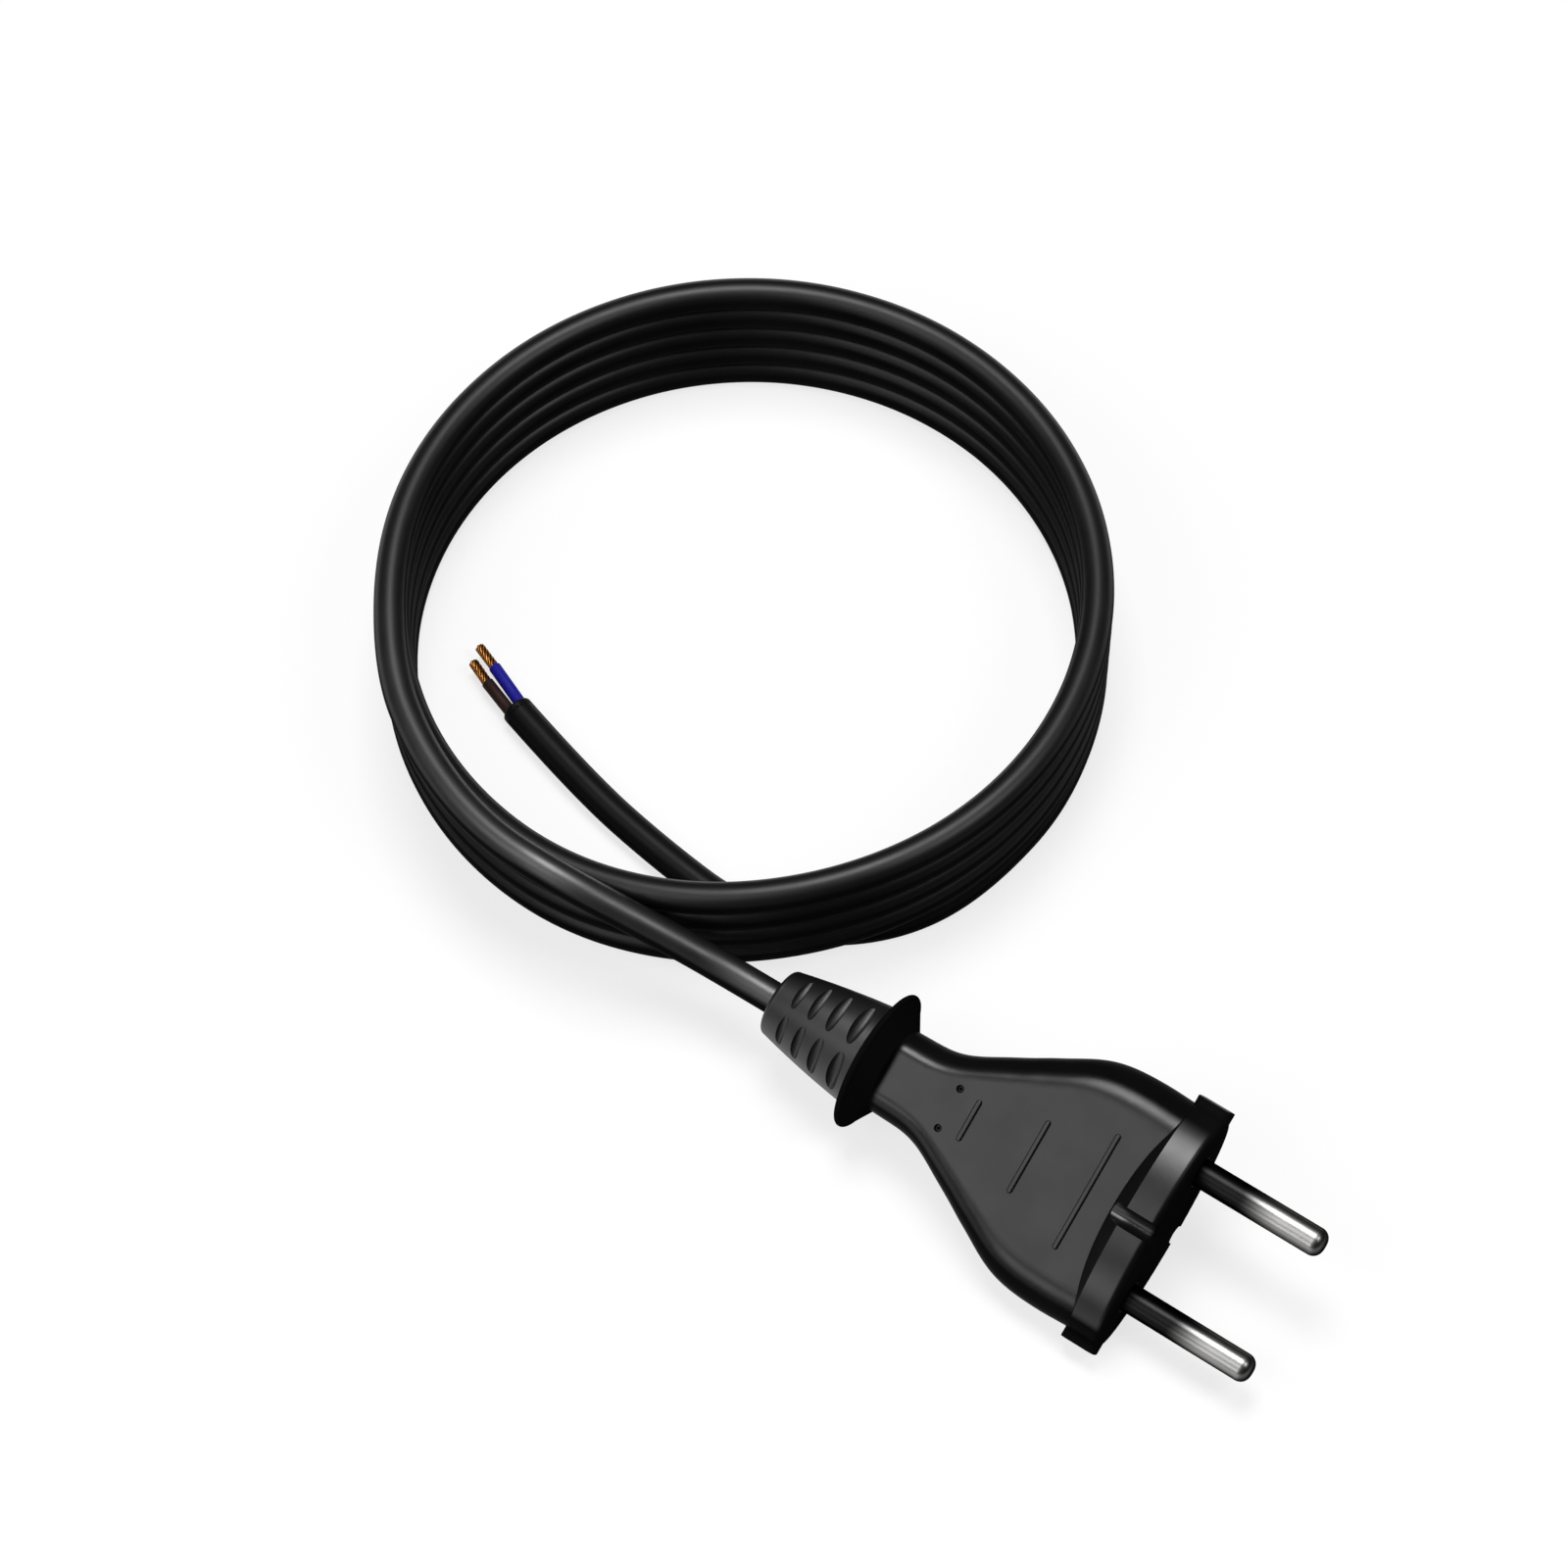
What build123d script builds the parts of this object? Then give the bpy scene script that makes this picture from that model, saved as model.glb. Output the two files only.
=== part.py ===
from build123d import *
from build123d.topology.shape_core import SkipClean
import os
from math import atan2, cos, radians, sin, sqrt, tan

# Row frame: +X is the plug's axis toward the pins, +Z is up.
# The origin is the middle of the face that meets the socket.

# Pins
PIN_R = 2.0
PIN_LENGTH = 19.0
PIN_SPACING = 19.0
PIN_TIP_ROUND = 1.5
PIN_SHANK = 8.0
PIN_SHANK_R = 2.4
PIN_COLLAR_R = 2.8
PIN_COLLAR_WIDTH = 1.5
PIN_COLLAR_BACK = 2.5
BARREL_R = 1.5
BARREL_LENGTH = 6.0
BARREL_DEPTH = 5.0

# Rigid pin carrier moulded into the head
CARRIER_HALF_HEIGHT = 4.2
CARRIER_SIDE = 3.2
CARRIER_DEPTH = 6.0

# Head band, an oval that the plug lies on, and its thin side tabs
HEAD_HALF_WIDTH = 17.35
HEAD_HALF_HEIGHT = 8.4
HEAD_DEPTH = 4.6
HEAD_ROUND = 0.8
FACET_DEPTH = 2.4
GROOVE_WIDTH = 2.7
GROOVE_DEPTH = 3.0
TAB_PROUD = 0.95
TAB_LENGTH = 5.2
TAB_HEIGHT = 3.2
TAB_ROUND = 0.9

# Grip body: a flat bell that runs from the neck into the head, a little inside the band
BAND_PROUD = 0.2
BODY_HALF_WIDTH = HEAD_HALF_WIDTH - BAND_PROUD
BODY_HALF_THICK = 5.0
BODY_SIDE_ROUND = 5.4
NECK_HALF_WIDTH = 6.25
NECK_SIDE_ROUND = 3.4
# distance from the face, share of the growth from neck to head
BODY_STATIONS = [
    (40.5, 0.0),
    (37.5, 0.014),
    (35.0, 0.069),
    (33.2, 0.142),
    (29.0, 0.353),
    (25.0, 0.56),
    (20.4, 0.794),
    (17.5, 0.913),
    (14.5, 0.977),
    (11.3, 1.0),
    (8.0, 1.0),
]

# Raised grip bars and the two small dimples on the upper flat: distance from the face, length
BARS = [(29.3, 6.2), (19.9, 11.0), (10.9, 17.4)]
BAR_WIDTH = 0.75
BAR_PROUD = 0.4
BAR_ROUND = 0.2
DIMPLE_R = 0.4
DIMPLE_DEPTH = 0.5
DIMPLE_BACK = 32.5
DIMPLE_HALF_SPACING = 3.0

# Finger guard and strain relief, round the axis
GUARD_FRONT = 42.7
GUARD_RIM = 45.4
GUARD_R = 10.2
GUARD_TIP = 0.45
RELIEF_BASE = 46.4
RELIEF_BASE_R = 7.45
RELIEF_END = 61.5
RELIEF_END_R = 4.9
RELIEF_CROWN = 0.2
RELIEF_LIP = 0.7
SLIT_SPREAD = 32.0
SLIT_BACKS = [48.4, 51.9, 55.0, 57.9]
SLIT_LENGTHS = [9.0, 8.2, 7.4, 6.6]
SLIT_WIDTHS = [2.0, 1.8, 1.6, 1.4]
SLIT_SINK = 0.2

# The plug lies rolled on its oval head, so the axis height follows from the oval
ROLL = 28.0
AXIS_HEIGHT = sqrt((HEAD_HALF_WIDTH * sin(radians(ROLL))) ** 2
                   + (HEAD_HALF_HEIGHT * cos(radians(ROLL))) ** 2)

# Cord, its cores and its conductors
CORD_D = 4.6
CORE_D = 1.8
CORE_GAP = 0.3
STRAND_D = 1.3
CORE_IN_SHEATH = 3.0
STRAND_IN_CORE = 2.0
CORE_BEND = 9.0
CORE_FORK_BACK = 36.0
CORE_JOIN_BACK = 21.0
STRAND_BARE = 2.5

# Coil: stacked turns of one diameter about an upright axis
COIL_X = -100.2
COIL_Y = 47.8
COIL_R = 49.7
COIL_LEVELS = 5
COIL_WEB = 0.6 * CORD_D
COIL_START = -144.2
COIL_DROP = -30.0
COIL_DROP_END = -95.0
COIL_WEDGE_END = -88.0
COIL_FOOT = -80.0
COIL_LEAVE = -5.4

# Cord route, points as chosen along the photo
LEAD_POINTS = [
    (-51.5, 0.0, 0.0),
    (-68.5, 0.0, 0.0),
    (-80.5, -3.1, 6.3),
    (-93.0, -6.2, 11.6),
    (-106.6, -5.6, 11.0),
    (-120.6, -0.3, 10.1),
]
LEAD_LAST_RUN = 12.5
TAIL_FIRST_RUN = 7.4
TAIL_POINTS = [
    (-56.0, 24.3),
    (-65.0, 15.8),
    (-76.8, 11.9),
    (-90.9, 13.4),
    (-106.3, 16.3),
    (-121.6, 21.1),
]
CORE_END_BROWN = (-127.9, 22.4)
CORE_END_BLUE = (-128.6, 25.1)
STRAND_END_BROWN = (-131.6, 24.0)
STRAND_END_BLUE = (-132.4, 26.6)

BLEND = 0.45


def level_height(level):
    return (level - 0.5) * CORD_D - AXIS_HEIGHT


def ring_point(angle, level):
    a = radians(angle)
    return Vector(COIL_X + COIL_R * cos(a), COIL_Y + COIL_R * sin(a), level_height(level))


def ring_travel(angle):
    a = radians(angle)
    return Vector(sin(a), -cos(a), 0)


def route(points):
    """Straight runs joined by tangent arcs, each arc as wide as its shorter run allows."""
    radii = []
    for before, here, after in zip(points, points[1:], points[2:]):
        run_in = here - before
        run_out = after - here
        half_turn = radians(run_in.get_angle(run_out)) / 2
        radii.append(BLEND * min(run_in.length, run_out.length) / tan(half_turn))
    return FilletPolyline(*points, radius=radii), radii


def tube(path, diameter):
    start = Plane(origin=path @ 0, z_dir=path % 0)
    return sweep(start * Circle(diameter / 2), path=path)


def rod(start, end, diameter):
    axis = end - start
    return extrude(Plane(origin=start, z_dir=axis) * Circle(diameter / 2), axis.length)


def across(origin_x):
    """Sketch plane across the plug's axis: local x is the plug's width, local y its thickness."""
    return Plane(origin=(origin_x, 0, 0), x_dir=(0, 1, 0), z_dir=(1, 0, 0))


def lay(solid):
    return Rot(ROLL, 0, 0) * solid


def grip_section(back, share):
    """Section of the grip: flat above and below, its sides half ovals."""
    half_width = NECK_HALF_WIDTH + share * (BODY_HALF_WIDTH - NECK_HALF_WIDTH)
    side_round = NECK_SIDE_ROUND + share * (BODY_SIDE_ROUND - NECK_SIDE_ROUND)
    flat = half_width - side_round
    thick = BODY_HALF_THICK
    outline = [
        Line((-flat, -thick), (flat, -thick)),
        EllipticalCenterArc((flat, 0), side_round, thick, start_angle=-90, arc_size=180),
        Line((flat, thick), (-flat, thick)),
        EllipticalCenterArc((-flat, 0), side_round, thick, start_angle=90, arc_size=180),
    ]
    return across(-back) * make_face(outline)


def grip_body():
    stations = [(GUARD_FRONT + 1.0, 0.0), *BODY_STATIONS, (HEAD_DEPTH - 1.0, 1.0)]
    return loft([grip_section(back, share).face() for back, share in stations])


def head_band():
    oval = across(-HEAD_DEPTH) * Ellipse(HEAD_HALF_WIDTH, HEAD_HALF_HEIGHT)
    band = extrude(oval, HEAD_DEPTH)
    band = fillet(band.edges().group_by(Axis.X)[-1], HEAD_ROUND)
    inset = HEAD_HALF_HEIGHT - BODY_HALF_THICK
    narrow = across(-HEAD_DEPTH - FACET_DEPTH) * Ellipse(HEAD_HALF_WIDTH - inset, BODY_HALF_THICK)
    facet = loft([narrow.face(), oval.face()])
    return band + facet


def side_tabs():
    tab = Box(TAB_LENGTH, 2 * (HEAD_HALF_WIDTH + TAB_PROUD), TAB_HEIGHT)
    tab = fillet(tab.edges().filter_by(Axis.Y), TAB_ROUND)
    return Pos(-TAB_LENGTH / 2, 0, 0) * tab


def key_grooves():
    """Round-bottomed grooves through the band, above and below, each with a ball end on the flat."""
    groove_r = GROOVE_WIDTH / 2
    middle_w = HEAD_HALF_HEIGHT - GROOVE_DEPTH + groove_r
    length = HEAD_DEPTH + FACET_DEPTH
    cuts = []
    for side in (1, -1):
        round_part = Pos(0, side * middle_w) * Circle(groove_r)
        open_part = Pos(0, side * (middle_w + GROOVE_DEPTH / 2)) * Rectangle(GROOVE_WIDTH, GROOVE_DEPTH)
        cuts.append(extrude(across(-length) * (round_part + open_part), length))
        cuts.append(Pos(-length, 0, side * middle_w) * Sphere(groove_r))
    return cuts


def guard_and_relief():
    lip_start = (-RELIEF_END, RELIEF_END_R - RELIEF_LIP)
    lip_end = (-RELIEF_END + RELIEF_LIP, RELIEF_END_R)
    lip_mid = (-RELIEF_END + 0.3 * RELIEF_LIP, RELIEF_END_R - 0.3 * RELIEF_LIP)
    base = (-RELIEF_BASE, RELIEF_BASE_R)
    cone_mid = ((lip_end[0] + base[0]) / 2, (lip_end[1] + base[1]) / 2 + RELIEF_CROWN)
    rim_back = (-GUARD_RIM - GUARD_TIP, GUARD_R - GUARD_TIP)
    rim_top = (-GUARD_RIM, GUARD_R)
    rim_front = (-GUARD_RIM + GUARD_TIP, GUARD_R - GUARD_TIP)
    flare_mid = ((base[0] + rim_back[0]) / 2 - 0.1, (base[1] + rim_back[1]) / 2 + 0.1)
    front = (-GUARD_FRONT, NECK_HALF_WIDTH)
    lines = [
        Line((-RELIEF_END, 0), lip_start),
        ThreePointArc(lip_start, lip_mid, lip_end),
        ThreePointArc(lip_end, cone_mid, base),
        ThreePointArc(base, flare_mid, rim_back),
        ThreePointArc(rim_back, rim_top, rim_front),
        Line(rim_front, front),
        Line(front, (-GUARD_FRONT, 0)),
        Line((-GUARD_FRONT, 0), (-RELIEF_END, 0)),
    ]
    return revolve(make_face(lines), Axis.X)


def relief_slits():
    """Scooped slits across the strain relief, in two rows on its upper side and two below."""
    slope = atan2(RELIEF_BASE_R - RELIEF_END_R, RELIEF_END - RELIEF_BASE)
    cuts = []
    for back, length, width in zip(SLIT_BACKS, SLIT_LENGTHS, SLIT_WIDTHS):
        surface = RELIEF_BASE_R - (back - RELIEF_BASE) * tan(slope)
        bow = ThreePointArc((0, -length / 2), (width / 2, 0), (0, length / 2))
        scoop = revolve(make_face([bow, Line(bow @ 1, bow @ 0)]), Axis.Y)
        for turn in (SLIT_SPREAD, -SLIT_SPREAD, 180 - SLIT_SPREAD, 180 + SLIT_SPREAD):
            cuts.append(Rot(turn, 0, 0) * Pos(-back, 0, surface - SLIT_SINK) * scoop)
    return cuts


def pin():
    blade = extrude(across(0) * Circle(PIN_R), PIN_LENGTH)
    blade = fillet(blade.edges().group_by(Axis.X)[-1], PIN_TIP_ROUND)
    shank = extrude(across(-PIN_SHANK) * Circle(PIN_SHANK_R), PIN_SHANK)
    collar_start = -PIN_COLLAR_BACK - PIN_COLLAR_WIDTH
    collar = extrude(across(collar_start) * Circle(PIN_COLLAR_R), PIN_COLLAR_WIDTH)
    barrel_start = -PIN_SHANK - BARREL_LENGTH
    barrel = extrude(across(barrel_start) * Circle(BARREL_R), BARREL_LENGTH)
    bore = extrude(across(barrel_start) * Circle(STRAND_D / 2), BARREL_DEPTH)
    return blade + shank + collar + barrel - bore


def core_route(side):
    core_offset = side * (CORE_D + CORE_GAP) / 2
    pin_offset = side * PIN_SPACING / 2
    start_x = LEAD_POINTS[0][0] - CORE_IN_SHEATH
    end_x = -PIN_SHANK - BARREL_LENGTH - STRAND_BARE
    points = [
        (start_x, core_offset, 0),
        (-CORE_FORK_BACK, core_offset, 0),
        (-CORE_JOIN_BACK, pin_offset, 0),
        (end_x, pin_offset, 0),
    ]
    return FilletPolyline(*points, radius=CORE_BEND)


def plug_strands(side):
    pin_offset = side * PIN_SPACING / 2
    barrel_start = -PIN_SHANK - BARREL_LENGTH
    start = Vector(barrel_start - STRAND_BARE - STRAND_IN_CORE, pin_offset, 0)
    end = Vector(barrel_start + BARREL_DEPTH, pin_offset, 0)
    return rod(start, end, STRAND_D)


# Cord
coil_start = ring_point(COIL_START, COIL_LEVELS)
lead_points = [Vector(*p) for p in LEAD_POINTS]
lead_points.append(coil_start - ring_travel(COIL_START) * LEAD_LAST_RUN)
lead_points.append(coil_start)
lead_path, lead_radii = route(lead_points)
cord_lead = tube(lead_path, CORD_D)

tail_start = ring_point(COIL_LEAVE, 1)
tail_points = [tail_start, tail_start + ring_travel(COIL_LEAVE) * TAIL_FIRST_RUN]
tail_points += [Vector(x, y, level_height(1)) for x, y in TAIL_POINTS]
tail_path, tail_radii = route(tail_points)
cord_tail = tube(tail_path, CORD_D)

print("lead arc radii", [round(r, 1) for r in lead_radii])
print("tail arc radii", [round(r, 1) for r in tail_radii])
section = Circle(CORD_D / 2).area
print("lead volume", round(cord_lead.volume, 1), "section x length", round(section * lead_path.length, 1))
print("tail volume", round(cord_tail.volume, 1), "section x length", round(section * tail_path.length, 1))


def coil_sector(first_angle, last_angle, low, high):
    """One stretch of the coil, clockwise seen from above: turns low to high, joined by a web."""
    bottom = level_height(low)
    rise = level_height(high) - bottom
    profile = Pos(COIL_R, bottom + rise / 2) * Rectangle(COIL_WEB, rise)
    for level in range(low, high + 1):
        profile = profile + Pos(COIL_R, level_height(level)) * Circle(CORD_D / 2)
    upright = Plane(origin=(0, 0, 0), x_dir=(1, 0, 0), z_dir=(0, -1, 0))
    turned = Rot(0, 0, first_angle) * (upright * profile)
    return Pos(COIL_X, COIL_Y, 0) * revolve(turned, Axis.Z, -((first_angle - last_angle) % 360))


# The last part of the top turn slopes down to the turn below it
slope_from = ring_point(COIL_DROP, COIL_LEVELS + 0.5)
slope_to = ring_point(COIL_DROP_END, COIL_LEVELS - 0.5)
slope_run = slope_to - slope_from
slope_side = Vector(0, 0, 1).cross(slope_run).normalized()
slope_plane = Plane(origin=slope_from, x_dir=slope_run, z_dir=slope_run.cross(slope_side))
above_slope = Pos(slope_run.length / 2, 0, 4 * CORD_D) * Box(1.4 * slope_run.length, 2 * COIL_R, 8 * CORD_D)
above_slope = slope_plane * above_slope

with SkipClean():
    cord_coil = coil_sector(COIL_START, COIL_LEAVE, 1, COIL_LEVELS)
    cord_coil = cord_coil + (coil_sector(COIL_LEAVE, COIL_FOOT, 2, COIL_LEVELS) - above_slope)
    cord_coil = cord_coil + (coil_sector(COIL_FOOT, COIL_WEDGE_END, 1, COIL_LEVELS) - above_slope)
    cord_coil = cord_coil + coil_sector(COIL_WEDGE_END, COIL_START, 1, COIL_LEVELS - 1)

# Stripped end
jacket_end = Vector(*tail_points[-1])
end_travel = (tail_points[-1] - tail_points[-2]).normalized()
end_side = Vector(0, 0, 1).cross(end_travel)


def stripped(side, core_end_xy, strand_end_xy):
    z = level_height(1)
    leave = jacket_end - end_side * (side * (CORE_D + CORE_GAP) / 2)
    core_end = Vector(*core_end_xy, z)
    strand_end = Vector(*strand_end_xy, z)
    core_dir = (core_end - leave).normalized()
    strand_dir = (strand_end - core_end).normalized()
    core = rod(leave - core_dir * CORE_IN_SHEATH, core_end, CORE_D)
    strands = rod(core_end - strand_dir * STRAND_IN_CORE, strand_end, STRAND_D)
    return core - strands, strands


core_end_brown, strands_end_brown = stripped(-1, CORE_END_BROWN, STRAND_END_BROWN)
core_end_blue, strands_end_blue = stripped(1, CORE_END_BLUE, STRAND_END_BLUE)
for inner in (core_end_brown, strands_end_brown, core_end_blue, strands_end_blue):
    cord_tail = cord_tail - inner

# Plug, built level and then laid on the floor
flat_pin = pin()
pins = {side: Pos(0, side * PIN_SPACING / 2, 0) * flat_pin for side in (1, -1)}
strands = {side: plug_strands(side) for side in (1, -1)}
cores = {side: tube(core_route(side), CORE_D) - strands[side] for side in (1, -1)}

carrier_length = PIN_SPACING + 2 * (PIN_COLLAR_R + CARRIER_SIDE)
carrier_face = across(-CARRIER_DEPTH) * SlotOverall(carrier_length, 2 * CARRIER_HALF_HEIGHT)
carrier = extrude(carrier_face, CARRIER_DEPTH)
for piece in pins.values():
    carrier = carrier - piece

body = grip_body() + head_band() + side_tabs() + guard_and_relief()
for cut in key_grooves() + relief_slits():
    body = body - cut
for back, length in BARS:
    bar = extrude(Rot(0, 0, 90) * SlotOverall(length, BAR_WIDTH), 2 * BAR_PROUD)
    bar = fillet(bar.edges().group_by(Axis.Z)[-1], BAR_ROUND)
    body = body + Pos(-back, 0, BODY_HALF_THICK - BAR_PROUD) * bar
for side in (1, -1):
    dimple = extrude(Circle(DIMPLE_R), 2 * DIMPLE_DEPTH)
    spot = Pos(-DIMPLE_BACK, side * DIMPLE_HALF_SPACING, BODY_HALF_THICK - DIMPLE_DEPTH)
    body = body - spot * dimple
for inner in [carrier, *pins.values(), *cores.values(), *strands.values()]:
    body = body - inner

plug_body = lay(body) - cord_lead
plug_cores = {side: lay(piece) for side, piece in cores.items()}
for piece in plug_cores.values():
    cord_lead = cord_lead - piece

nodes = {
    "plug_body": plug_body,
    "pin_carrier": lay(carrier),
    "live_pin": lay(pins[1]),
    "neutral_pin": lay(pins[-1]),
    "plug_core_brown": plug_cores[1],
    "plug_core_blue": plug_cores[-1],
    "plug_strands_brown": lay(strands[1]),
    "plug_strands_blue": lay(strands[-1]),
    "cord_lead": cord_lead,
    "cord_coil": cord_coil,
    "cord_tail": cord_tail,
    "core_end_brown": core_end_brown,
    "core_end_blue": core_end_blue,
    "strands_end_brown": strands_end_brown,
    "strands_end_blue": strands_end_blue,
}

os.makedirs("parts", exist_ok=True)
for name, shape in nodes.items():
    solids = shape.solids()
    print(name, "solids", len(solids), "volume", round(shape.volume, 1))
    export_step(shape, f"parts/{name}.step")
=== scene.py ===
import math

import bmesh
import bpy
from mathutils import Matrix, Vector


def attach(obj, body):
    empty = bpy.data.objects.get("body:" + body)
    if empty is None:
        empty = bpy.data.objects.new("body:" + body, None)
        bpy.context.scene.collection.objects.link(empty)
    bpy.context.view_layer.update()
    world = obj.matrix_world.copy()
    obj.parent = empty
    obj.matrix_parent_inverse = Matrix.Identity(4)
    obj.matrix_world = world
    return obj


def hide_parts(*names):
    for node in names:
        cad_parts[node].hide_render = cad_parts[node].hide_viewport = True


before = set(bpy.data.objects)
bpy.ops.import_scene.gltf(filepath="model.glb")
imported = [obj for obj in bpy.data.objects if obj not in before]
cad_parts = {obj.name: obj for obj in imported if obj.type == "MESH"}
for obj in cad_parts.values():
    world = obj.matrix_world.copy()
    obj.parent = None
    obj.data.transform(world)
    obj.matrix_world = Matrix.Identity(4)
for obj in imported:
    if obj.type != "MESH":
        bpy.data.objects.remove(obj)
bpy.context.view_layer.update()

# Lengths are in metres and angles in degrees, in the part's own frame: X runs along the plug toward the
# tips of its pins and Z is up.
FLOOR = -0.01101611
CORD_D = 0.0046

# The coil runs clockwise seen from above, from its top turn down to the floor.
COIL_X = -0.1002
COIL_Y = 0.0478
COIL_R = 0.0497
COIL_START = -144.2
COIL_LEAVE = -5.4
COIL_DROP = -30.0
COIL_DROP_END = -95.0
COIL_TURNS = 5
POINTS_PER_TURN = 16

# The cord from the strain relief up to the coil, and its last stretch on the floor inside the coil
LEAD_POINTS = [
    (-0.0515, 0.0, 0.0),
    (-0.0685, 0.0, 0.0),
    (-0.0805, -0.0031, 0.0063),
    (-0.0930, -0.0062, 0.0116),
    (-0.1066, -0.0056, 0.0110),
    (-0.1206, -0.0003, 0.0101),
    (-0.1332, 0.00859, 0.009684),
]
TAIL_POINTS = [
    (-0.05142, 0.03576),
    (-0.0560, 0.0243),
    (-0.0650, 0.0158),
    (-0.0768, 0.0119),
    (-0.0909, 0.0134),
    (-0.1063, 0.0163),
    (-0.1216, 0.0211),
]

# The stripped end's two cores: where the insulation ends on the floor, and where the strands end
BROWN_ENDS = ((-0.1279, 0.0224), (-0.1316, 0.0240))
BLUE_ENDS = ((-0.1286, 0.0251), (-0.1324, 0.0266))
CORES_APART = 0.0019
CORE_D = 0.0018
CORE_IN_JACKET = 0.003
CORE_EDGE = 0.00008
CORE_HOLLOW = 0.0004

# The strands' outer and inner layer: how many strands, their radius and the radius of their ring
STRAND_BUNDLE_D = 0.0015
OUTER_STRAND_R = 0.00021
STRAND_LAYERS = [(9, OUTER_STRAND_R, STRAND_BUNDLE_D / 2 - OUTER_STRAND_R), (4, 0.00018, 0.00026)]
STRANDS_IN_CORE = 0.001
STRAND_LAY = 0.0068
STRAND_STEPS = 28
STRAND_UNEVEN = 0.00003

# The lip of the cut jacket
LIP_WALL = 0.0005
LIP_INSIDE_JACKET = 0.0009
LIP_SMALLER = 0.00001
LIP_ARC_STEPS = 8

# The plug's finish changes along X at these edges. The plug lies rolled, so heights over its middle are
# measured along PLUG_UP.
PLUG_UP = (0.0, -0.469472, 0.882948)
PLUG_REACH = 0.05
GUARD_BACK = (-0.0463, -0.0460)
GUARD_FRONT = (-0.0424, -0.0418)
FACE_EDGE = (-0.0010, -0.0004)
RELIEF_TOP = (0.0, 0.0034)
RELIEF_SHINE = 0.70
RELIEF_SOFTER = 0.14
GRIP_TOP = (0.0040, 0.0049)
GRIP_SHINE = 0.42
GRIP_SIDES = 0.01
DIMPLES = [(-0.0325, 0.000301, 0.005823), (-0.0325, -0.004996, 0.003006)]
DIMPLE_REACH = 0.00055

# The cord's gloss: its share from the strain relief (0) to the cut end (1), and how far up it starts
CORD_WEAR = [(0.0, 1.0), (0.05, 1.0), (0.08, 0.36), (0.90, 0.36), (0.93, 0.12)]
CORD_TOP = (0.35, 0.9)
CORD_TOP_V = 0.2
CORD_FLANKS = 0.002

# The pins' base colour goes from a painted dark reflection to the plating's own tone between these:
# along X from the plug, back from the tip, and up over the plug's middle.
PIN_ROOT = (0.0085, 0.0150)
PIN_TIP = (0.0183, 0.0174)
PIN_SIDES = (0.0010, 0.0018)
PIN_PAINTED_EDGE_SHARE = 0.32
PIN_ROOT_UNEVEN = 0.004

# Noise scales and the middle part of a noise's values that a finish is spread over
NOISE_MIDDLE = (0.3, 0.7)
PVC_CLOUDS = 70
PVC_PATCHES = 220
PVC_GRAIN = 2600
PVC_GRAIN_DEPTH = 0.00002
PIN_DRAWN = 260
COPPER_TARNISH = 1800
COPPER_PATCHES = 3200
FLOOR_CLOUDS = 3

# Colours, dark and light
BLACK = ((0.003, 0.003, 0.003), (0.005, 0.005, 0.005))
BROWN = ((0.020, 0.009, 0.007), (0.030, 0.014, 0.011))
BLUE = ((0.011, 0.010, 0.23), (0.015, 0.013, 0.29))
COPPER = ((0.17, 0.065, 0.014), (0.48, 0.22, 0.055))
# The pins' dark tone is a painted reflection of dark surroundings, and the light tone is the plating's
# own.
PAINTED_DARK_AND_PLATING = ((0.012, 0.012, 0.012), (0.34, 0.337, 0.332))
PALE = ((0.93, 0.93, 0.93), (0.95, 0.95, 0.95))

# The share of plain white that the floor shows, and the room's light
FLOOR_WHITE = 0.75
FLOOR_SIZE = 3.0
ROOM_LIGHT = 0.03


# Shapes
def level_height(level):
    """Height of the cord's middle on a level of the coil: level 1 lies on the floor."""
    return FLOOR + (level - 0.5) * CORD_D


def on_floor(point):
    return Vector((*point, level_height(1)))


def coil_level(turned):
    """Level after turning so far: each turn steps down to the next on the same side of the coil."""
    step_from = (COIL_START - COIL_DROP) % 360
    step_to = (COIL_START - COIL_DROP_END) % 360
    part = (turned % 360 - step_from) / (step_to - step_from)
    part = min(max(part, 0.0), 1.0)
    eased = part * part * (3 - 2 * part)
    return COIL_TURNS - turned // 360 - eased


def cord_route():
    """Control points of the cord. The coil's lie a little outside, so that the curve keeps to COIL_R."""
    points = list(LEAD_POINTS)
    total = (COIL_START - COIL_LEAVE) % 360 + 360 * (COIL_TURNS - 1)
    count = round(total / 360 * POINTS_PER_TURN)
    step = total / count
    radius = COIL_R / math.cos(math.radians(step / 2))
    for i in range(count):
        turned = (i + 0.5) * step
        angle = math.radians(COIL_START - turned)
        x = COIL_X + radius * math.cos(angle)
        y = COIL_Y + radius * math.sin(angle)
        points.append((x, y, level_height(coil_level(turned))))
    points += [(x, y, level_height(1)) for x, y in TAIL_POINTS]
    return points


def cord_curve(name, points, thickness):
    curve = bpy.data.curves.new(name, "CURVE")
    curve.dimensions = "3D"
    curve.resolution_u = 16
    curve.bevel_depth = thickness / 2
    curve.bevel_resolution = 8
    curve.use_fill_caps = True
    curve.twist_mode = "Z_UP"
    spline = curve.splines.new("NURBS")
    spline.points.add(len(points) - 1)
    for slot, point in zip(spline.points, points):
        slot.co = (*point, 1.0)
    spline.order_u = 3
    spline.use_endpoint_u = True
    piece = bpy.data.objects.new(name, curve)
    bpy.context.collection.objects.link(piece)
    return piece


def new_piece(name, bm, material):
    mesh = bpy.data.meshes.new(name)
    bm.to_mesh(mesh)
    bm.free()
    for face in mesh.polygons:
        face.use_smooth = True
    mesh.materials.append(material)
    piece = bpy.data.objects.new(name, mesh)
    bpy.context.collection.objects.link(piece)
    return piece


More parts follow.
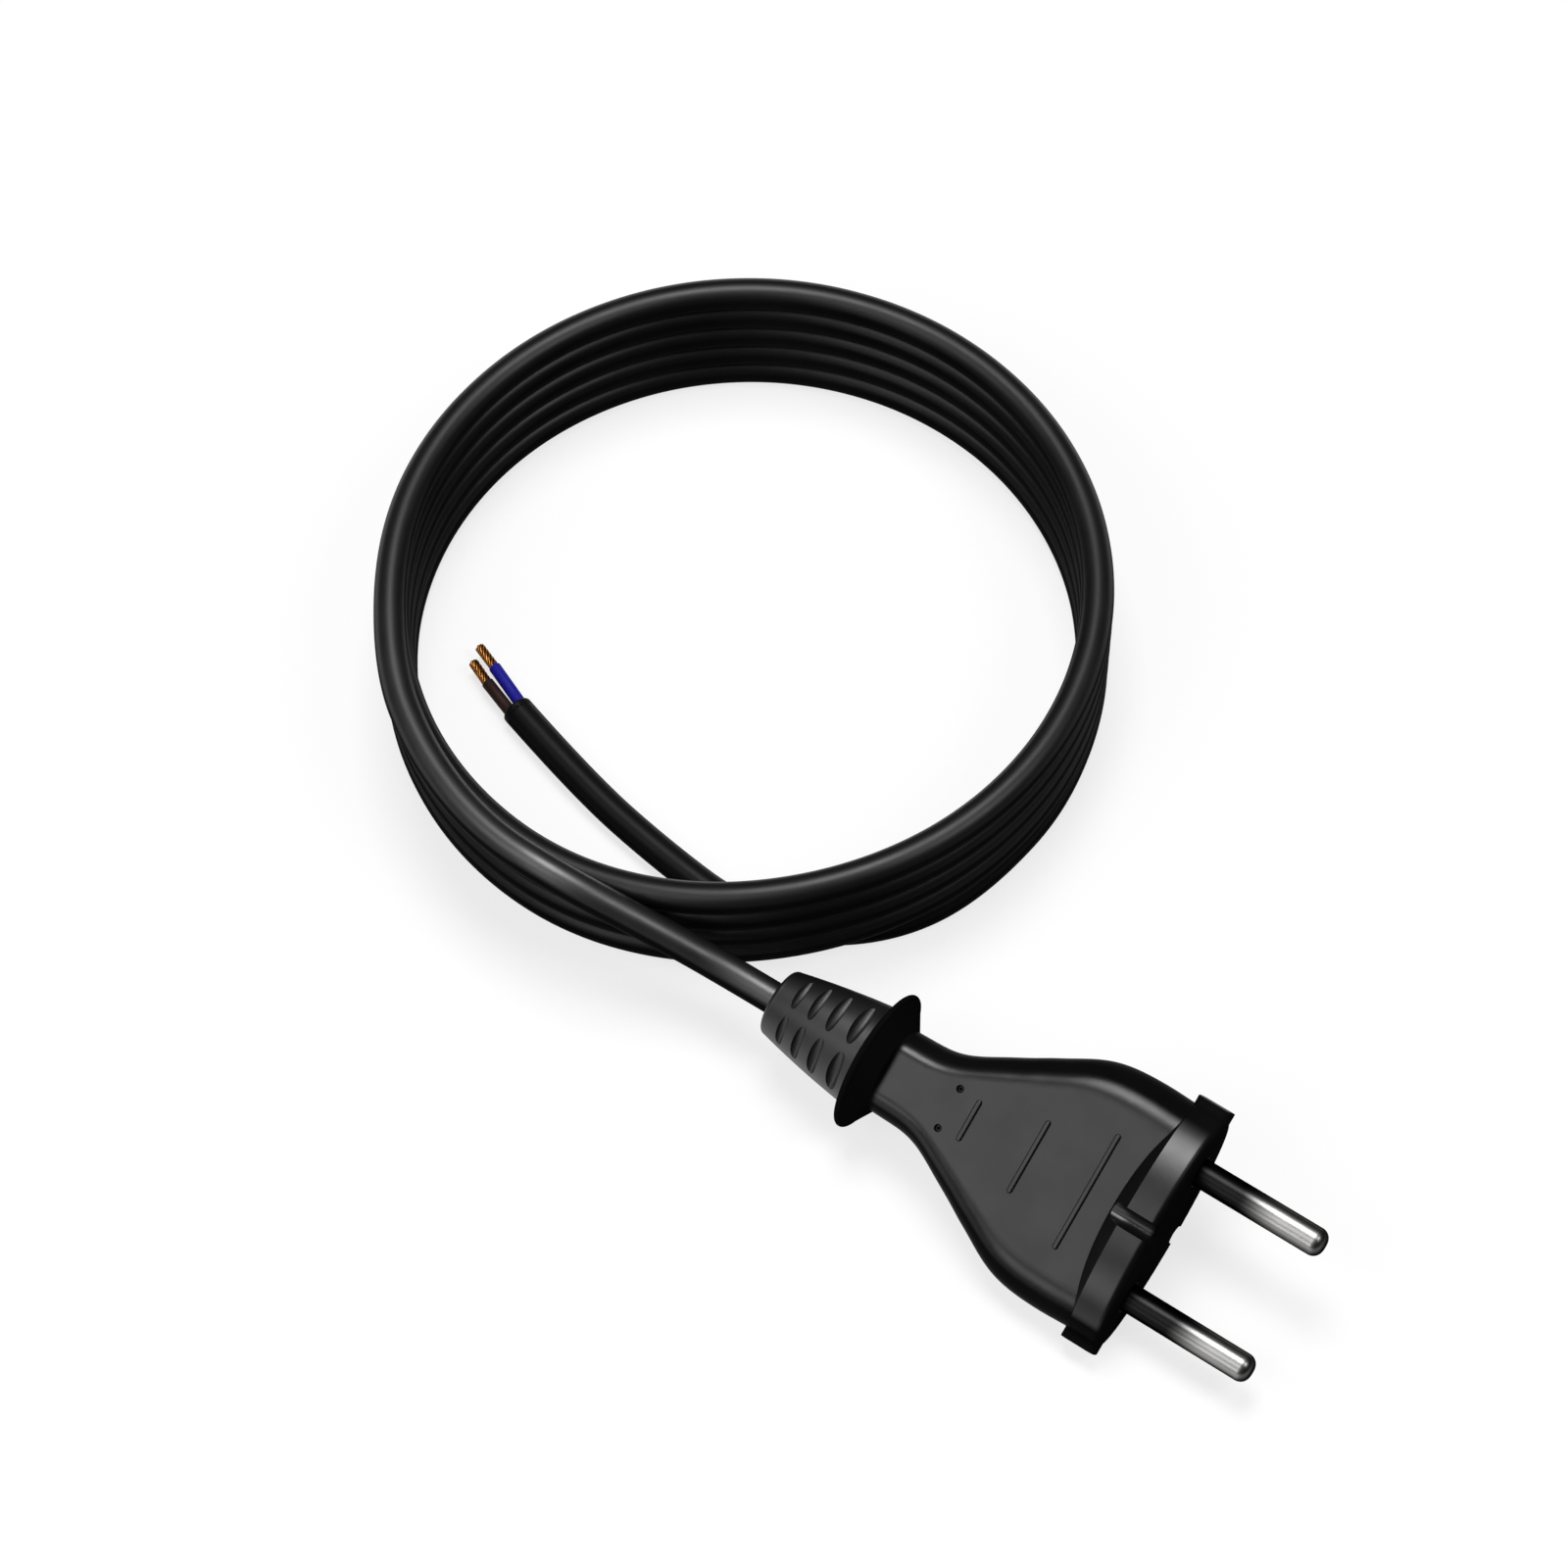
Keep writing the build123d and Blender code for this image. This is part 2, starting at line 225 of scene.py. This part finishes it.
# Nodes that the materials are made of
def finish_nodes(name):
    material = bpy.data.materials.new(name)
    material.use_nodes = True
    tree = material.node_tree
    tree.nodes.clear()
    out = tree.nodes.new("ShaderNodeOutputMaterial")
    shader = tree.nodes.new("ShaderNodeBsdfPrincipled")
    tree.links.new(shader.outputs["BSDF"], out.inputs["Surface"])
    return material, tree, shader


def node_of_type(tree, kind):
    return next(node for node in tree.nodes if node.type == kind)


def feed(tree, socket, value):
    """Links a socket to another node's output, or gives it a plain number."""
    if isinstance(value, bpy.types.NodeSocket):
        tree.links.new(value, socket)
    else:
        socket.default_value = value


def calculate(tree, operation, *values):
    node = tree.nodes.new("ShaderNodeMath")
    node.operation = operation
    for socket, value in zip(node.inputs, values):
        feed(tree, socket, value)
    return node.outputs["Value"]


def measure(tree, operation, place, vector):
    """Dot product of a place with a vector, or its distance from a point."""
    node = tree.nodes.new("ShaderNodeVectorMath")
    node.operation = operation
    tree.links.new(place, node.inputs[0])
    node.inputs[1].default_value = vector
    return node.outputs["Value"]


def map_range(tree, value, source, target, smooth=False):
    node = tree.nodes.new("ShaderNodeMapRange")
    if smooth:
        node.interpolation_type = "SMOOTHSTEP"
    names = ("Value", "From Min", "From Max", "To Min", "To Max")
    for name, limit in zip(names, (value, *source, *target)):
        feed(tree, node.inputs[name], limit)
    return node.outputs["Result"]


def colour_ramp(tree, value, stops):
    node = tree.nodes.new("ShaderNodeValToRGB")
    marks = node.color_ramp.elements
    while len(marks) < len(stops):
        marks.new(0.5)
    for mark, (position, colour) in zip(marks, stops):
        mark.position = position
        mark.color = (*colour, 1)
    tree.links.new(value, node.inputs["Fac"])
    return node.outputs["Color"]


def grey_stops(stops):
    return [(position, (share, share, share)) for position, share in stops]


def object_place(tree):
    return tree.nodes.new("ShaderNodeTexCoord").outputs["Object"]


def split(tree, vector):
    node = tree.nodes.new("ShaderNodeSeparateXYZ")
    tree.links.new(vector, node.inputs["Vector"])
    return node.outputs


def object_noise(tree, scale, detail=3.0, stretch=(1, 1, 1)):
    mapping = tree.nodes.new("ShaderNodeMapping")
    mapping.inputs["Scale"].default_value = stretch
    noise = tree.nodes.new("ShaderNodeTexNoise")
    noise.inputs["Scale"].default_value = scale
    noise.inputs["Detail"].default_value = detail
    tree.links.new(object_place(tree), mapping.inputs["Vector"])
    tree.links.new(mapping.outputs["Vector"], noise.inputs["Vector"])
    return noise.outputs["Fac"]


def clouded(tree, shader, noise, tones):
    colour = colour_ramp(tree, noise, list(zip(NOISE_MIDDLE, tones)))
    tree.links.new(colour, shader.inputs["Base Color"])


def patchy(tree, shader, noise, roughness):
    tree.links.new(map_range(tree, noise, NOISE_MIDDLE, roughness), shader.inputs["Roughness"])


# Materials
def moulded_pvc(name, tones, roughness, specular):
    material, tree, shader = finish_nodes(name)
    clouded(tree, shader, object_noise(tree, PVC_CLOUDS), tones)
    patchy(tree, shader, object_noise(tree, PVC_PATCHES), roughness)
    shader.inputs["Specular IOR Level"].default_value = specular
    grain = tree.nodes.new("ShaderNodeBump")
    grain.inputs["Strength"].default_value = 0.25
    grain.inputs["Distance"].default_value = PVC_GRAIN_DEPTH
    tree.links.new(object_noise(tree, PVC_GRAIN, 4.0), grain.inputs["Height"])
    tree.links.new(grain.outputs["Normal"], shader.inputs["Normal"])
    return material


def behind_guard(tree, x, relief_value, grip_value):
    """One value on the strain relief and another from the finger guard on."""
    return map_range(tree, x, GUARD_BACK, (relief_value, grip_value))


def polished_grip(material):
    """Only the grip's top is polished: the plug's sides, front face and finger guard come out duller."""
    tree = material.node_tree
    place = object_place(tree)
    x = split(tree, place)["X"]
    top = [behind_guard(tree, x, *heights) for heights in zip(RELIEF_TOP, GRIP_TOP)]
    over_middle = measure(tree, "DOT_PRODUCT", place, PLUG_UP)
    upper = map_range(tree, over_middle, top, (GRIP_SIDES, 1.0), smooth=True)
    edges = GUARD_BACK + GUARD_FRONT + FACE_EDGE
    shines = (RELIEF_SHINE, 0, 0, GRIP_SHINE, GRIP_SHINE, 0)
    stops = grey_stops([((edge + PLUG_REACH) / PLUG_REACH, shine) for edge, shine in zip(edges, shines)])
    along_plug = map_range(tree, x, (-PLUG_REACH, 0.0), (0.0, 1.0))
    polish = calculate(tree, "MULTIPLY", upper, colour_ramp(tree, along_plug, stops))
    for dimple in DIMPLES:
        outside = calculate(tree, "GREATER_THAN", measure(tree, "DISTANCE", place, dimple), DIMPLE_REACH)
        polish = calculate(tree, "MULTIPLY", polish, outside)
    shader = node_of_type(tree, "BSDF_PRINCIPLED")
    tree.links.new(polish, shader.inputs["Specular IOR Level"])
    patches = shader.inputs["Roughness"].links[0].from_socket
    softer = calculate(tree, "ADD", patches, behind_guard(tree, x, RELIEF_SOFTER, 0.0))
    tree.links.new(softer, shader.inputs["Roughness"])


def glossy_top(material):
    """The cord's upper side is glossy and its flanks are dull, read from the tube's own UV round it."""
    tree = material.node_tree
    own = tree.nodes.new("ShaderNodeUVMap")
    own.uv_map = "UVMap"
    tube = split(tree, own.outputs["UV"])
    turned = calculate(tree, "MULTIPLY_ADD", tube["Y"], 2 * math.pi, -2 * CORD_TOP_V * math.pi)
    upward = calculate(tree, "COSINE", turned)
    worn = colour_ramp(tree, tube["X"], grey_stops(CORD_WEAR))
    gloss = map_range(tree, upward, CORD_TOP, (CORD_FLANKS, worn), smooth=True)
    shader = node_of_type(tree, "BSDF_PRINCIPLED")
    tree.links.new(gloss, shader.inputs["Specular IOR Level"])


def pin_metal_painted_dark():
    """Plating with painted reflection: painted dark toward the plug, and partly at the tip and lower
    sides.
    """
    material, tree, shader = finish_nodes("pin_metal_painted_dark")
    shader.inputs["Metallic"].default_value = 1.0
    shader.inputs["Specular Tint"].default_value = (0.05, 0.05, 0.05, 1)
    drawn = object_noise(tree, PIN_DRAWN, stretch=(0.1, 1, 1))
    patchy(tree, shader, drawn, (0.31, 0.36))
    place = object_place(tree)
    x = split(tree, place)["X"]
    uneven_x = calculate(tree, "MULTIPLY_ADD", drawn, PIN_ROOT_UNEVEN, x)
    over_middle = measure(tree, "DOT_PRODUCT", place, PLUG_UP)
    # Painted reflection: the plating's colour is painted dark toward the root, the tip and the lower
    # sides.
    plating_share = map_range(tree, uneven_x, PIN_ROOT, (0.0, 1.0), smooth=True)
    for value, limits in ((x, PIN_TIP), (over_middle, PIN_SIDES)):
        share = map_range(tree, value, limits, (PIN_PAINTED_EDGE_SHARE, 1.0), smooth=True)
        plating_share = calculate(tree, "MULTIPLY", plating_share, share)
    painted_dark_plating = colour_ramp(tree, plating_share, list(zip((0.0, 1.0), PAINTED_DARK_AND_PLATING)))
    tree.links.new(painted_dark_plating, shader.inputs["Base Color"])
    return material


def copper_strand():
    material, tree, shader = finish_nodes("copper_strand")
    shader.inputs["Metallic"].default_value = 1.0
    clouded(tree, shader, object_noise(tree, COPPER_TARNISH), COPPER)
    patchy(tree, shader, object_noise(tree, COPPER_PATCHES), (0.24, 0.42))
    return material


plug_pvc = moulded_pvc("plug_pvc", BLACK, (0.29, 0.34), 0.36)
polished_grip(plug_pvc)
jacket_pvc = moulded_pvc("jacket_pvc", BLACK, (0.39, 0.43), 0.34)
glossy_top(jacket_pvc)
jacket_cut = moulded_pvc("jacket_cut", BLACK, (0.40, 0.48), 0.06)
carrier_plastic = moulded_pvc("carrier_plastic", BLACK, (0.45, 0.55), 0.0)
brown_insulation = moulded_pvc("brown_insulation", BROWN, (0.50, 0.60), 0.12)
blue_insulation = moulded_pvc("blue_insulation", BLUE, (0.50, 0.60), 0.12)
pin_metal = pin_metal_painted_dark()
copper = copper_strand()

NODE_FINISH = {
    "plug_body": plug_pvc,
    "pin_carrier": carrier_plastic,
    "live_pin": pin_metal,
    "neutral_pin": pin_metal,
    "plug_core_brown": brown_insulation,
    "plug_core_blue": blue_insulation,
    "plug_strands_brown": copper,
    "plug_strands_blue": copper,
}
for node, finish in NODE_FINISH.items():
    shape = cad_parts[node]
    shape.data.materials.clear()
    shape.data.materials.append(finish)


# Stripped end
def along(start, end):
    """Turns and moves a shape made along local Z so that it runs from start toward end."""
    turn = (end - start).to_track_quat("Z", "Y")
    return Matrix.Translation(start) @ turn.to_matrix().to_4x4()


def cut_jacket():
    """Where the jacket is cut, and the cord's last step to there."""
    last, end = (on_floor(point) for point in TAIL_POINTS[-2:])
    return end, end - last


def extruded(bm, faces):
    made = bmesh.ops.extrude_face_region(bm, geom=faces)
    return [v for v in made["geom"] if isinstance(v, bmesh.types.BMVert)]


def core_insulation(name, start, end, material):
    """A core's insulation, rounded and a little hollow where it is cut."""
    length = (end - start).length
    wall = (CORE_D - STRAND_BUNDLE_D) / 2
    bm = bmesh.new()
    bmesh.ops.create_circle(bm, cap_ends=True, segments=40, radius=CORE_D / 2)
    bmesh.ops.translate(bm, verts=extruded(bm, bm.faces[:]), vec=(0, 0, length))
    bmesh.ops.recalc_face_normals(bm, faces=bm.faces[:])
    bm.faces.ensure_lookup_table()
    cap = max(bm.faces, key=lambda f: f.calc_center_median().z)
    bmesh.ops.bevel(
        bm, geom=cap.edges[:], offset=CORE_EDGE, segments=3, profile=0.5, affect="EDGES", material=-1)
    cap = max(bm.faces, key=lambda f: f.calc_center_median().z + f.calc_area())
    bmesh.ops.inset_region(bm, faces=[cap], thickness=wall - CORE_EDGE, use_even_offset=True)
    bmesh.ops.translate(bm, verts=extruded(bm, [cap]), vec=(0, 0, -CORE_HOLLOW))
    bmesh.ops.delete(bm, geom=[cap], context="FACES_ONLY")
    bmesh.ops.transform(bm, matrix=along(start, end), verts=bm.verts[:])
    return new_piece(name, bm, material)


def strand_bundle(name, start, end):
    """Thin copper strands twisted about the bundle's axis, in two layers, their tips a little uneven."""
    length = (end - start).length
    bm = bmesh.new()
    for layer, (count, thick, ring) in enumerate(STRAND_LAYERS):
        for k in range(count):
            run = length - STRAND_UNEVEN * ((k * 5 + layer * 3) % 4)
            made = bmesh.ops.create_circle(bm, cap_ends=False, segments=10, radius=thick)
            turn = Matrix.Rotation(2 * math.pi * k / count, 4, "Z")
            bmesh.ops.transform(bm, matrix=turn @ Matrix.Translation((ring, 0, 0)), verts=made["verts"])
            edges = list({e for v in made["verts"] for e in v.link_edges})
            bmesh.ops.spin(
                bm, geom=made["verts"] + edges, cent=(0, 0, 0), axis=(0, 0, 1),
                dvec=(0, 0, run / STRAND_STEPS), angle=2 * math.pi * run / STRAND_LAY,
                steps=STRAND_STEPS, use_merge=False)
    bmesh.ops.holes_fill(bm, edges=[e for e in bm.edges if e.is_boundary], sides=0)
    bmesh.ops.recalc_face_normals(bm, faces=bm.faces[:])
    bmesh.ops.transform(bm, matrix=along(start, end), verts=bm.verts[:])
    return new_piece(name, bm, copper)


def stripped_core(colour, side, core_end, strand_end, material):
    end, step = cut_jacket()
    across = Vector((0, 0, 1)).cross(step.normalized())
    leave = end - across * (side * CORES_APART / 2)
    core_tip = on_floor(core_end)
    strand_tip = on_floor(strand_end)
    inside = leave - (core_tip - leave).normalized() * CORE_IN_JACKET
    root = core_tip - (strand_tip - core_tip).normalized() * STRANDS_IN_CORE
    core = core_insulation("core_" + colour, inside, core_tip, material)
    strands = strand_bundle("strands_" + colour, root, strand_tip)
    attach(core, "root")
    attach(strands, "root")
    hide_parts("core_end_" + colour)
    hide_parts("strands_end_" + colour)
    return [core, strands]


stripped_end = stripped_core("brown", -1, *BROWN_ENDS, brown_insulation)
stripped_end += stripped_core("blue", 1, *BLUE_ENDS, blue_insulation)


def jacket_rim():
    """Rounded lip of the cut jacket, standing round the cores."""
    end, step = cut_jacket()
    outer = CORD_D / 2 - LIP_SMALLER
    profile = [(outer, -LIP_INSIDE_JACKET)]
    for i in range(LIP_ARC_STEPS + 1):
        turn = math.pi * i / LIP_ARC_STEPS
        radius = outer - LIP_WALL / 2 + LIP_WALL / 2 * math.cos(turn)
        profile.append((radius, LIP_WALL / 2 * math.sin(turn)))
    profile.append((outer - LIP_WALL, -LIP_INSIDE_JACKET))
    bm = bmesh.new()
    verts = [bm.verts.new((radius, 0, height)) for radius, height in profile]
    edges = [bm.edges.new(pair) for pair in zip(verts, verts[1:] + verts[:1])]
    bmesh.ops.spin(
        bm, geom=verts + edges, cent=(0, 0, 0), axis=(0, 0, 1), angle=2 * math.pi, steps=64,
        use_merge=True)
    bmesh.ops.remove_doubles(bm, verts=bm.verts[:], dist=1e-7)
    bmesh.ops.recalc_face_normals(bm, faces=bm.faces[:])
    bmesh.ops.transform(bm, matrix=along(end, end + step), verts=bm.verts[:])
    rim = new_piece("jacket_rim", bm, jacket_cut)
    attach(rim, "root")
    return rim


stripped_end.append(jacket_rim())

# Cord
cord = cord_curve("cord", cord_route(), CORD_D)
cord.data.materials.append(jacket_pvc)
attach(cord, "root")
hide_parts("cord_lead", "cord_coil", "cord_tail")


# Floor, lights and camera
def pale_floor():
    """A floor that the camera and reflections see mostly as plain white, and that keeps the shadow."""
    material, tree, shader = finish_nodes("pale_floor")
    clouded(tree, shader, object_noise(tree, FLOOR_CLOUDS), PALE)
    shader.inputs["Roughness"].default_value = 0.9
    shader.inputs["Specular IOR Level"].default_value = 0.0
    white = tree.nodes.new("ShaderNodeEmission")
    rays = tree.nodes.new("ShaderNodeLightPath")
    seen = rays.outputs["Is Camera Ray"]
    for kind in ("Is Glossy Ray", "Is Transmission Ray"):
        seen = calculate(tree, "MAXIMUM", seen, rays.outputs[kind])
    mix = tree.nodes.new("ShaderNodeMixShader")
    tree.links.new(calculate(tree, "MULTIPLY", seen, FLOOR_WHITE), mix.inputs["Fac"])
    tree.links.new(shader.outputs["BSDF"], mix.inputs[1])
    tree.links.new(white.outputs["Emission"], mix.inputs[2])
    out = node_of_type(tree, "OUTPUT_MATERIAL")
    tree.links.new(mix.outputs["Shader"], out.inputs["Surface"])
    bm = bmesh.new()
    bmesh.ops.create_grid(bm, x_segments=8, y_segments=8, size=FLOOR_SIZE)
    bmesh.ops.translate(bm, verts=bm.verts[:], vec=(0, 0, FLOOR))
    floor = new_piece("floor", bm, material)


pale_floor()

world = bpy.data.worlds.new("studio")
bpy.context.scene.world = world
world.use_nodes = True
backdrop = world.node_tree.nodes["Background"]
backdrop.inputs["Color"].default_value = (1, 1, 1, 1)
backdrop.inputs["Strength"].default_value = ROOM_LIGHT


def softbox(name, place, target, width, depth, watts):
    lamp = bpy.data.lights.new(name, "AREA")
    lamp.shape = "RECTANGLE"
    lamp.size = width
    lamp.size_y = depth
    lamp.energy = watts
    holder = bpy.data.objects.new(name, lamp)
    aim = Vector(target) - Vector(place)
    turn = aim.to_track_quat("-Z", "Y").to_matrix().to_4x4()
    holder.matrix_world = Matrix.Translation(Vector(place)) @ turn
    bpy.context.collection.objects.link(holder)


MIDDLE = (-0.06, 0.03, 0.0)
BESIDE_COIL = (-0.40, 0.03, 0.0)
softbox("overhead_softbox", (-0.20, 0.18, 0.86), MIDDLE, 0.35, 0.35, 5.6)
softbox("front_softbox", (-0.21, -0.86, 0.33), MIDDLE, 0.35, 0.35, 1.3)
softbox("camera_side_softbox", (-0.40, -0.51, 0.78), BESIDE_COIL, 0.8, 0.45, 3.0)
softbox("plug_side_softbox", (0.40, 0.15, 0.70), MIDDLE, 0.3, 0.3, 1.8)

eye = bpy.data.cameras.new("camera")
eye.sensor_width = 36.0
eye.lens = 101.25
eye.clip_start = 0.01
stand = Vector((0.0990, -0.21977, 0.53275))
right = Vector((0.82433, 0.56594, -0.01362))
up = Vector((-0.48524, 0.71876, 0.49792))
ahead = Vector((-0.29158, 0.40385, -0.86712))
camera = bpy.data.objects.new("camera", eye)
camera.matrix_world = Matrix.Translation(stand) @ Matrix((right, up, -ahead)).transposed().to_4x4()
bpy.context.collection.objects.link(camera)
bpy.context.scene.camera = camera
bpy.context.scene.view_settings.view_transform = "Standard"
